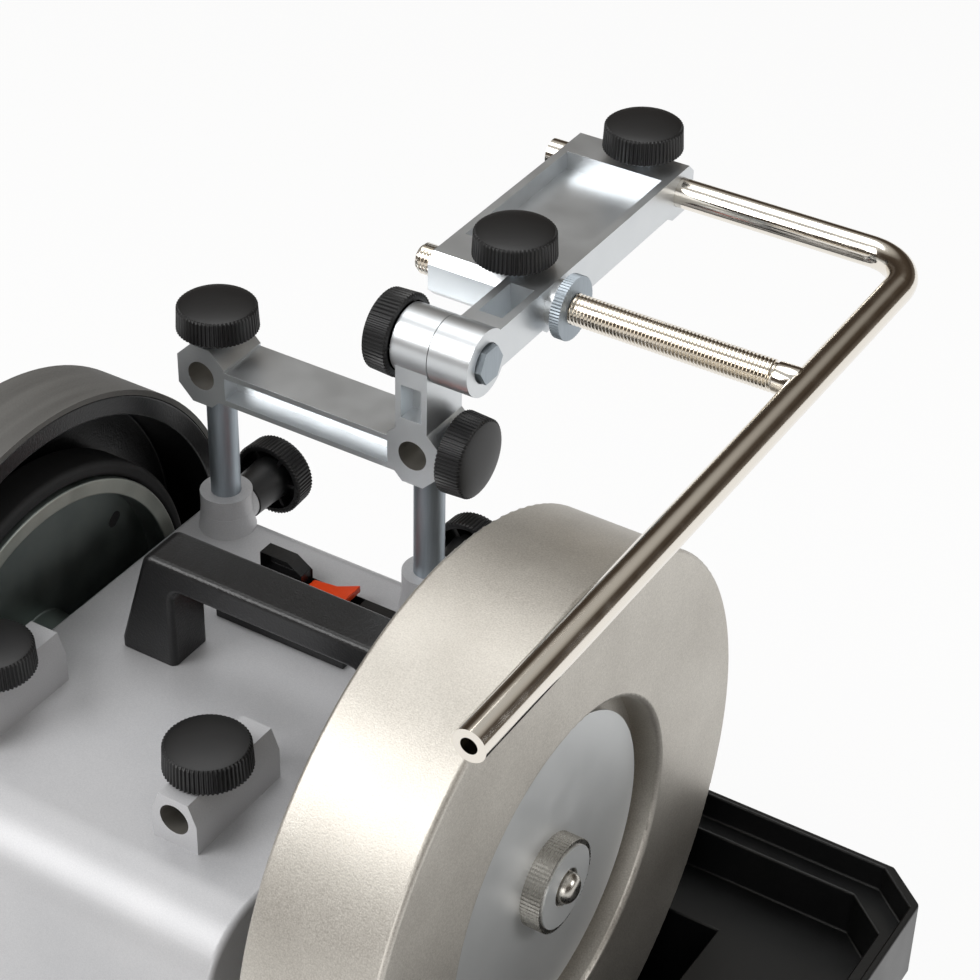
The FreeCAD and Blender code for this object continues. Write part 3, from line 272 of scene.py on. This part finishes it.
for name, node in nodes.items():
    material = finishes.get(name) or (blackKnob if name.endswith("knob") else zincPlate)
    node.data.materials.clear()
    node.data.materials.append(material)
print("finishes on", len(nodes), "nodes")

# modelling helpers
facing = 0.9  # least share of a face's normal along a direction to count as facing it


def only(*pieces):
    if bpy.context.object and bpy.context.object.mode != "OBJECT":
        bpy.ops.object.mode_set(mode="OBJECT")
    bpy.ops.object.select_all(action="DESELECT")
    for piece in pieces:
        piece.select_set(True)
    bpy.context.view_layer.objects.active = pieces[0]


def bodyOf(name):
    return next(b for b, members in frame["record"]["behaviour"]["bodies"].items() if name in members)


def named(rows, name):
    return next(row for row in rows if row["name"] == name)


def standIn(piece, name, material):
    piece.data.materials.clear()
    piece.data.materials.append(material)
    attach(piece, bodyOf(name))
    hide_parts(name)


def pickFaces(piece, test):
    bpy.ops.object.mode_set(mode="EDIT")
    bpy.ops.mesh.select_mode(type="FACE")
    bpy.ops.mesh.select_all(action="DESELECT")
    bpy.ops.object.mode_set(mode="OBJECT")
    for face in piece.data.polygons:
        face.select = test(face)
    bpy.ops.object.mode_set(mode="EDIT")


def addCylinder(sides, radiusMm, fromMm, toMm):  # upright, between two heights
    bpy.ops.object.select_all(action="DESELECT")
    bpy.ops.mesh.primitive_cylinder_add(
        vertices=sides, radius=radiusMm * millimetre, depth=(toMm - fromMm) * millimetre,
        location=(0, 0, (fromMm + toMm) / 2 * millimetre))
    bpy.ops.object.transform_apply(location=True, rotation=True, scale=True)
    return bpy.context.object


def copyTo(piece, name, matrix):
    copy = bpy.data.objects.new(name, piece.data.copy())
    copy.data.transform(matrix)
    scene.collection.objects.link(copy)
    return copy


# hood of the switch: a thin shell, open towards the handle
hoodShape = {"wall": 1.3, "depth": 5.2, "level": 0.1}


def hollowHood(piece):
    height = max(f.center.z for f in piece.data.polygons if f.normal.y < -facing)
    level = height - hoodShape["level"] * millimetre
    pickFaces(piece, lambda f: f.normal.y < -facing and f.center.z > level)
    bpy.ops.mesh.inset(thickness=hoodShape["wall"] * millimetre, depth=-hoodShape["depth"] * millimetre)
    bpy.ops.object.mode_set(mode="OBJECT")


# castings and mouldings with their sharp edges rounded off
softening = {"mergeMm": 0.01, "flat": 0.5, "sharp": 38, "smooth": 35,  # angles in degrees
             "segments": 2, "wideSegments": 4, "wideMm": 2}
softEdges = {  # how far each piece's edges are cut back, in millimetres
    "base_beam": 0.7, "pivot_plate": 0.7, "top_casting": 0.8, "base_housing": 1.2, "switch_bezel": 0.6,
    "switch_rocker": 0.7, "water_trough": 0.9, "drive_wheel": 0.8, "honing_wheel": 0.9, "carry_handle": 0.4,
    "friction_ring": 2.4,
}


def softened(name, edgeMm):
    size = softening
    piece = bpy.data.objects.new(name + "_soft", nodes[name].data.copy())
    scene.collection.objects.link(piece)
    only(piece)
    bpy.ops.object.mode_set(mode="EDIT")
    bpy.ops.mesh.select_all(action="SELECT")
    bpy.ops.mesh.remove_doubles(threshold=size["mergeMm"] * millimetre)
    bpy.ops.mesh.dissolve_limited(angle_limit=math.radians(size["flat"]))
    bpy.ops.object.mode_set(mode="OBJECT")
    if name == "switch_bezel":
        hollowHood(piece)
    bpy.ops.object.modifier_add(type="BEVEL")
    bevel = piece.modifiers[-1]
    bevel.width = edgeMm * millimetre
    bevel.segments = size["wideSegments"] if edgeMm > size["wideMm"] else size["segments"]
    bevel.limit_method = "ANGLE"
    bevel.angle_limit = math.radians(size["sharp"])
    bpy.ops.object.modifier_apply(modifier=bevel.name)
    bpy.ops.object.shade_smooth_by_angle(angle=math.radians(size["smooth"]))
    bpy.ops.object.modifier_add(type="WEIGHTED_NORMAL")  # keeps the flats flat between the rounded edges
    piece.modifiers[-1].keep_sharp = True
    bpy.ops.object.modifier_apply(modifier=piece.modifiers[-1].name)
    standIn(piece, name, finishes[name])
    return piece


# bore walls painted darker: painted shade standing for the shade inside each hole
boreShape = {"reach": 0.2, "slope": 0.3}


def paintBoreShade(piece):
    # adds the painted-shade material and puts it on the faces inside each bore
    piece.data.materials.append(boreShadeMaterial)
    for mount in frame["record"]["mounts"]:
        if mount["kind"] != "bore":
            continue
        middle, axis = Vector(mount["pos_m"]), Vector(mount["axis"])
        reach = (mount["dims"]["r_mm"] + boreShape["reach"]) * millimetre
        half = mount["dims"]["length_mm"] / 2 * millimetre
        for face in piece.data.polygons:
            away = face.center - middle
            along = away.dot(axis)
            inside = (away - axis * along).length < reach and abs(along) < half
            if inside and abs(face.normal.dot(axis)) < boreShape["slope"]:
                face.material_index = 1


# rim of the drive wheel, cleaned on the lathe and left pale and speckled
rimShape = {"inner": 67.5, "facing": 0.5}


def brightenRim(piece):
    low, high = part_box("drive_wheel")
    middle = (Vector(low) + Vector(high)) / 2
    piece.data.materials.append(turnedRim)
    for face in piece.data.polygons:
        inner = min((piece.data.vertices[v].co - middle).yz.length for v in face.vertices)
        if face.normal.x > rimShape["facing"] and inner > rimShape["inner"] * millimetre:
            face.material_index = 1


for name, edge in softEdges.items():
    piece = softened(name, edge)
    if name == "drive_wheel":
        brightenRim(piece)
    # the bores of these two pieces get painted shade on their walls
    if name in ("top_casting", "base_beam"):
        paintBoreShade(piece)
print("edges softened on", len(softEdges), "pieces")

# clamp knob, modelled once standing on its seat, then copied to each clamp
knobShape = {"radius": 16, "low": 0.6, "side": 9.6, "chamfer": 0.5, "ribDepth": 0.6, "ribs": 60, "perRib": 4,
             "wall": 2.6, "hollow": 7, "draft": 0.3, "lip": 1.2, "footRound": 0.5, "footRise": 0.1,
             "hubRadius": 6.5, "hubFoot": 0.1, "webs": 6, "webThick": 1.6, "webSink": 1.2, "webBite": 0.6,
             "taper": 0.97, "smooth": 30, "topRound": 0.4, "topRise": 0.35,
             "crown": ((14.5, 0.75), (13.9, 0.95), (12, 1.4), (8, 1.9), (4, 2.15), (1.2, 2.2))}


def stepTo(piece, radiusMm, heightMm, even=True):  # draws the picked cap on to a new ring, round or still ribbed
    bpy.ops.mesh.extrude_region_move()
    bpy.ops.object.mode_set(mode="OBJECT")
    for vertex in piece.data.vertices:
        if vertex.select:
            reach = math.hypot(vertex.co.x, vertex.co.y)
            share = radiusMm * millimetre / (reach if even else knobShape["radius"] * millimetre)
            vertex.co = (vertex.co.x * share, vertex.co.y * share, heightMm * millimetre)
    bpy.ops.object.mode_set(mode="EDIT")


def makeKnob():
    size = knobShape
    low, high = size["low"], size["low"] + size["side"]
    roof = low + size["hollow"]
    inside = size["radius"] - size["wall"]
    around = size["ribs"] * size["perRib"]
    piece = addCylinder(around, size["radius"], low + size["chamfer"], high)
    step = 2 * math.pi / around
    for vertex in piece.data.vertices:  # two vertices out and two in make each rib
        if round(math.atan2(vertex.co.y, vertex.co.x) / step) % size["perRib"] >= size["perRib"] / 2:
            vertex.co.xy *= 1 - size["ribDepth"] / size["radius"]
        if vertex.co.z > high / 2 * millimetre:  # a little narrower at the top, as moulded
            vertex.co.xy *= size["taper"]
    only(piece)
    pickFaces(piece, lambda f: f.normal.z > facing)
    stepTo(piece, size["radius"] - size["topRound"], high + size["topRise"], even=False)
    for radius, rise in size["crown"]:
        stepTo(piece, radius, high + rise)
    pickFaces(piece, lambda f: f.normal.z < -facing)
    stepTo(piece, size["radius"] - size["footRound"], low + size["footRise"], even=False)
    for radius, height in ((size["radius"] - size["lip"], low), (inside, low), (inside - size["draft"], roof),
                           (size["hubRadius"], roof), (size["hubRadius"] - size["draft"], size["hubFoot"])):
        stepTo(piece, radius, height)
    bpy.ops.object.mode_set(mode="OBJECT")
    webs = []
    reach = (inside + size["hubRadius"]) / 2
    for i in range(size["webs"]):
        angle = 2 * math.pi * i / size["webs"]
        spot = Vector((reach * math.cos(angle), reach * math.sin(angle), (low + roof + size["webSink"]) / 2))
        bpy.ops.mesh.primitive_cube_add(size=1, location=spot * millimetre, rotation=(0, 0, angle))
        web = bpy.context.object
        web.scale = Vector((inside - size["hubRadius"] + size["webBite"], size["webThick"],
                            size["hollow"] - size["webSink"])) * millimetre
        bpy.ops.object.transform_apply(location=True, rotation=True, scale=True)
        webs.append(web)
    only(piece, *webs)
    bpy.ops.object.join()
    only(piece)
    bpy.ops.object.shade_smooth_by_angle(angle=math.radians(size["smooth"]))
    return piece


knob = makeKnob()
knobTall = knobShape["side"] + knobShape["crown"][-1][1]
for name in [n for n in nodes if n.endswith("_knob")]:
    low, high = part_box(name)
    joint = next(j for j in frame["joints"] if j["child"] == bodyOf(name))
    axis = Vector(joint["axis"])
    if name == "pivot_knob":  # its joint's axis points into the seat
        axis = -axis
    turn = axis.to_track_quat("Z", "Y").to_matrix().to_4x4()
    seat = (low + high) / 2 - axis * (knobTall / 2 + knobShape["low"]) * millimetre
    standIn(copyTo(knob, name + "_ribbed", Matrix.Translation(seat) @ turn), name, blackKnob)
bpy.data.objects.remove(knob)
print("knobs made")

# plain stem moulded under each rear knob, hiding its stud
stemShape = {"foot": 8.5, "top": 9.3, "sides": 48, "sink": 3, "clear": 0.6, "plinth": 1, "round": 0.5, "toe": 0.4,
             "shares": (0.3, 0.65, 1), "sleeveWall": 4.5, "smooth": 40}


def makeStem(lengthMm):
    size = stemShape
    piece = addCylinder(size["sides"], size["foot"], 0, size["plinth"])
    only(piece)
    pickFaces(piece, lambda f: f.normal.z > facing)
    for share in size["shares"]:  # swells towards the knob
        swell = (size["top"] - size["foot"]) * share * share
        stepTo(piece, size["foot"] + swell, size["plinth"] + (lengthMm - size["plinth"]) * share)
    pickFaces(piece, lambda f: f.normal.z < -facing)
    stepTo(piece, size["foot"] - size["round"], -size["toe"])
    bpy.ops.object.mode_set(mode="OBJECT")
    bpy.ops.object.shade_smooth_by_angle(angle=math.radians(size["smooth"]))
    return piece


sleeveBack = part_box("base_legs")[1].y + stemShape["sleeveWall"] * millimetre  # the sleeve's wall behind its leg
stemFoot = sleeveBack + stemShape["clear"] * millimetre
stem = makeStem((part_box("rear_left_knob")[0].y - stemFoot) / millimetre + stemShape["sink"])
for side in ("left", "right"):
    name = "rear_" + side + "_knob"
    mount = named(frame["record"]["mounts"], "beam_bore_" + side)
    low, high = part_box(name)
    start = Vector((mount["pos_m"][0], stemFoot, (low.z + high.z) / 2))
    turn = Vector((0, 1, 0)).to_track_quat("Z", "Y").to_matrix().to_4x4()
    piece = copyTo(stem, name + "_stem", Matrix.Translation(start) @ turn)
    piece.data.materials.append(blackKnob)
    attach(piece, bodyOf(name))
bpy.data.objects.remove(stem)
print("stems made")

# flared foot of each upright sleeve, where the casting runs into its top
flareShape = {"foot": 11.6, "bore": 10.2, "sides": 64, "halfThick": 0.2, "smooth": 60,
              "rings": ((11.3, 1.0), (11.1, 2.4), (10.85, 4.6), (10.56, 8.5))}


def makeFlare():
    size = flareShape
    piece = addCylinder(size["sides"], size["foot"], -size["halfThick"], size["halfThick"])
    only(piece)
    pickFaces(piece, lambda f: f.normal.z > facing)
    for radius, rise in size["rings"]:
        stepTo(piece, radius, rise)
    stepTo(piece, size["bore"], size["rings"][-1][1])
    bpy.ops.mesh.delete(type="FACE")
    pickFaces(piece, lambda f: f.normal.z < -facing)
    stepTo(piece, size["bore"], -size["halfThick"])
    bpy.ops.mesh.delete(type="FACE")
    bpy.ops.mesh.select_mode(type="EDGE")
    bpy.ops.mesh.select_all(action="DESELECT")
    bpy.ops.mesh.select_non_manifold()
    bpy.ops.mesh.bridge_edge_loops()  # the inner wall, so that the leg passes through a closed ring
    bpy.ops.mesh.select_all(action="SELECT")
    bpy.ops.mesh.normals_make_consistent(inside=False)
    bpy.ops.object.mode_set(mode="OBJECT")
    bpy.ops.object.shade_smooth_by_angle(angle=math.radians(size["smooth"]))
    return piece


flare = makeFlare()
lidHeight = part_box("carry_handle")[0].z
for side in ("left", "right"):
    mount = named(frame["record"]["mounts"], "beam_bore_" + side)
    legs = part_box("base_legs")
    spot = Vector((mount["pos_m"][0], (legs[0].y + legs[1].y) / 2, lidHeight))
    piece = copyTo(flare, "sleeve_flare_" + side, Matrix.Translation(spot))
    piece.data.materials.append(silverPaint)
    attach(piece, "machine")
bpy.data.objects.remove(flare)
print("sleeve flares made")

# slot in the drive wheel's web: a dark inlay, painted shade that reads as an opening
slotShape = {"halfWidth": 2.5, "length": 7, "reach": 58, "angle": 35, "sides": 24, "proud": 0.06, "halfThick": 0.1,
             "upper": 0.1, "webFrom": 30, "webTo": 60}


def makeSlot():
    size = slotShape
    axle = Vector(named(frame["joints"], "spindle_spin")["pos_m"])
    web = max(f.center.x for f in nodes["drive_wheel"].data.polygons if f.normal.x > facing
              and size["webFrom"] < (f.center - axle).yz.length / millimetre < size["webTo"])
    piece = addCylinder(size["sides"], size["halfWidth"], -size["halfThick"], size["halfThick"])
    only(piece)
    bpy.ops.object.mode_set(mode="EDIT")
    bpy.ops.mesh.select_mode(type="VERT")
    bpy.ops.mesh.select_all(action="DESELECT")
    bpy.ops.object.mode_set(mode="OBJECT")
    for vertex in piece.data.vertices:
        vertex.select = vertex.co.y > size["upper"] * millimetre
    bpy.ops.object.mode_set(mode="EDIT")
    bpy.ops.transform.translate(value=(0, (size["length"] - 2 * size["halfWidth"]) * millimetre, 0))
    bpy.ops.object.mode_set(mode="OBJECT")
    tilt = math.radians(size["angle"])
    spot = Vector((web + size["proud"] * millimetre, axle.y + size["reach"] * millimetre * math.cos(tilt),
                   axle.z + size["reach"] * millimetre * math.sin(tilt)))
    lay = Matrix.Rotation(tilt, 4, "X") @ Matrix.Rotation(math.radians(90), 4, "Y")
    piece.data.transform(Matrix.Translation(spot) @ lay)
    piece.name = "drive_wheel_slot_painted_shade"
    # the black rubber finish here is painted shade standing for the opening
    piece.data.materials.append(blackRubber)
    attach(piece, "spindle")


makeSlot()
print("slot made")

# threaded leg: a true helix round a core, with the plain collar at the bar
threadShape = {"pitch": 1.5, "major": 6.0, "minor": 5.05, "crest": (0.5, 0.62), "overlap": 0.05, "collar": 6.02,
               "plain": 9, "steps": 40, "mergeMm": 0.01, "sides": 64, "edge": 0.6, "edgeSegments": 3, "smooth": 32}


def makeThread():
    size = threadShape
    low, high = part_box("threaded_leg")
    tilt = math.asin(-Vector(named(frame["joints"], "plate_near_clamp_turn")["axis"]).y)
    mid = (Vector(low) + Vector(high)) / 2
    length = (high.x - low.x) / millimetre
    collarAt = length - size["plain"]
    pitch = size["pitch"]
    rise, fall = size["crest"]
    wave = [(0, size["minor"]), (rise, size["major"]), (fall, size["major"]), (1, size["minor"])]
    profile = bpy.data.meshes.new("threadProfile")
    profile.from_pydata([(r * millimetre, 0, p * pitch * millimetre) for p, r in wave],
                        [(0, 1), (1, 2), (2, 3)], [])
    thread = bpy.data.objects.new("threaded_leg_helix", profile)
    scene.collection.objects.link(thread)
    only(thread)
    bpy.ops.object.modifier_add(type="SCREW")
    screw = thread.modifiers[-1]
    screw.axis = "Z"
    screw.screw_offset = pitch * millimetre
    screw.iterations = int(collarAt / pitch) - 1
    screw.steps = size["steps"]
    screw.render_steps = size["steps"]
    screw.use_merge_vertices = True
    bpy.ops.object.modifier_apply(modifier=screw.name)
    bpy.ops.object.mode_set(mode="EDIT")
    bpy.ops.mesh.select_all(action="SELECT")
    bpy.ops.mesh.remove_doubles(threshold=size["mergeMm"] * millimetre)  # joins each turn to the next
    bpy.ops.mesh.fill_holes(sides=0)  # closes both ends of the helix
    bpy.ops.mesh.select_all(action="SELECT")
    bpy.ops.mesh.normals_make_consistent(inside=False)
    bpy.ops.object.mode_set(mode="OBJECT")
    pieces = [thread]
    for radius, foot, top in ((size["minor"] + size["overlap"], 0, collarAt), (size["collar"], collarAt, length)):
        core = addCylinder(size["sides"], radius, foot, top)
        bpy.ops.object.modifier_add(type="BEVEL")
        core.modifiers[-1].width = size["edge"] * millimetre
        core.modifiers[-1].segments = size["edgeSegments"]
        bpy.ops.object.modifier_apply(modifier=core.modifiers[-1].name)
        pieces.append(core)
    only(*pieces)
    bpy.ops.object.join()
    turn = Matrix.Rotation(tilt, 4, "X") @ Matrix.Rotation(math.radians(90), 4, "Y")
    thread.data.transform(Matrix.Translation((low.x, mid.y, mid.z)) @ turn)
    only(thread)
    bpy.ops.object.shade_smooth_by_angle(angle=math.radians(size["smooth"]))
    standIn(thread, "threaded_leg", chromePlate)


makeThread()
print("thread made")

# stage: pale floor and soft light
stage = {"floor": "#F4F4F2", "floorSize": 12, "floorRough": 0.8, "floorGlow": 0.92, "white": "#FFFFFF",
         "skyStrength": 0.7,
         "sky": ((0.0, "#7A7167"), (0.3, "#463C33"), (0.55, "#574C41"),  # sine of the height, and tone
                 (0.7, "#CFCAC2"), (0.82, "#E6E6E4"), (1.0, "#D2D3D4"))}


def addFloor():
    bpy.ops.object.select_all(action="DESELECT")
    bpy.ops.mesh.primitive_plane_add(size=stage["floorSize"], location=(0, 0, 0))
    floor = bpy.context.object
    floor.name = "floor"
    material, tree, shader = startMaterial(
        "pale_studio_floor", Base_Color=linear(stage["floor"]), Roughness=stage["floorRough"])[:3]
    glow = addNode(tree, "ShaderNodeEmission", {"Color": linear(stage["white"]), "Strength": 1.0})
    rays = addNode(tree, "ShaderNodeLightPath")
    seen = addNode(tree, "ShaderNodeMath", {0: rays.outputs["Is Camera Ray"], 1: rays.outputs["Is Glossy Ray"]},
                   operation="MAXIMUM")
    share = addNode(tree, "ShaderNodeMath", {0: seen.outputs[0], 1: stage["floorGlow"]}, operation="MULTIPLY")
    both = addNode(tree, "ShaderNodeMixShader", {0: share.outputs[0], 1: shader.outputs[0], 2: glow.outputs[0]})
    tree.links.new(both.outputs[0], tree.nodes["Material Output"].inputs["Surface"])
    floor.data.materials.append(material)


def addSky():  # white to the camera; for light and reflections dark low down and bright overhead
    world = bpy.data.worlds.new("studio")
    scene.world = world
    world.use_nodes = True
    tree = world.node_tree
    rays = addNode(tree, "ShaderNodeLightPath")
    place = addNode(tree, "ShaderNodeTexCoord").outputs["Generated"]
    height = addNode(tree, "ShaderNodeSeparateXYZ", {"Vector": place}).outputs["Z"]
    ramp = addNode(tree, "ShaderNodeValToRGB", {"Fac": height})
    elements = ramp.color_ramp.elements
    elements.remove(elements[1])
    for i, (spot, tone) in enumerate(stage["sky"]):
        element = elements[0] if i == 0 else elements.new(spot)
        element.position = spot
        element.color = linear(tone)
    white = addNode(tree, "ShaderNodeBackground", {"Color": linear(stage["white"]), "Strength": 1.0})
    soft = addNode(tree, "ShaderNodeBackground", {"Color": ramp.outputs[0], "Strength": stage["skyStrength"]})
    both = addNode(tree, "ShaderNodeMixShader", {0: rays.outputs["Is Camera Ray"], 1: soft.outputs[0],
                                                 2: white.outputs[0]})
    tree.links.new(both.outputs[0], tree.nodes["World Output"].inputs["Surface"])


lamps = {  # place, aim and size across in metres, power in watts
    "softboxOverhead": {"place": (-0.35, 0.3, 1.7), "aim": (0.0, 0.0, 0.25), "size": 0.9, "power": 6},
    "softboxLeft": {"place": (-0.8, -1.0, 1.35), "aim": (0.0, -0.05, 0.25), "size": 0.9, "power": 16},
    "stripRight": {"place": (1.5, 0.5, 1.0), "aim": (0.05, 0.0, 0.3), "size": 0.7, "power": 7},
    "fillFront": {"place": (0.5, -1.7, 0.7), "aim": (0.0, 0.0, 0.2), "size": 1.0, "power": 8},
}


def addLamps():
    for name, lamp in lamps.items():
        light = bpy.data.lights.new(name, "AREA")
        light.size = lamp["size"]
        light.energy = lamp["power"]
        holder = bpy.data.objects.new(name, light)
        holder.location = lamp["place"]
        back = Vector(lamp["place"]) - Vector(lamp["aim"])
        holder.rotation_euler = back.to_track_quat("Z", "Y").to_euler()
        scene.collection.objects.link(holder)


addFloor()
addSky()
addLamps()
print("stage set")
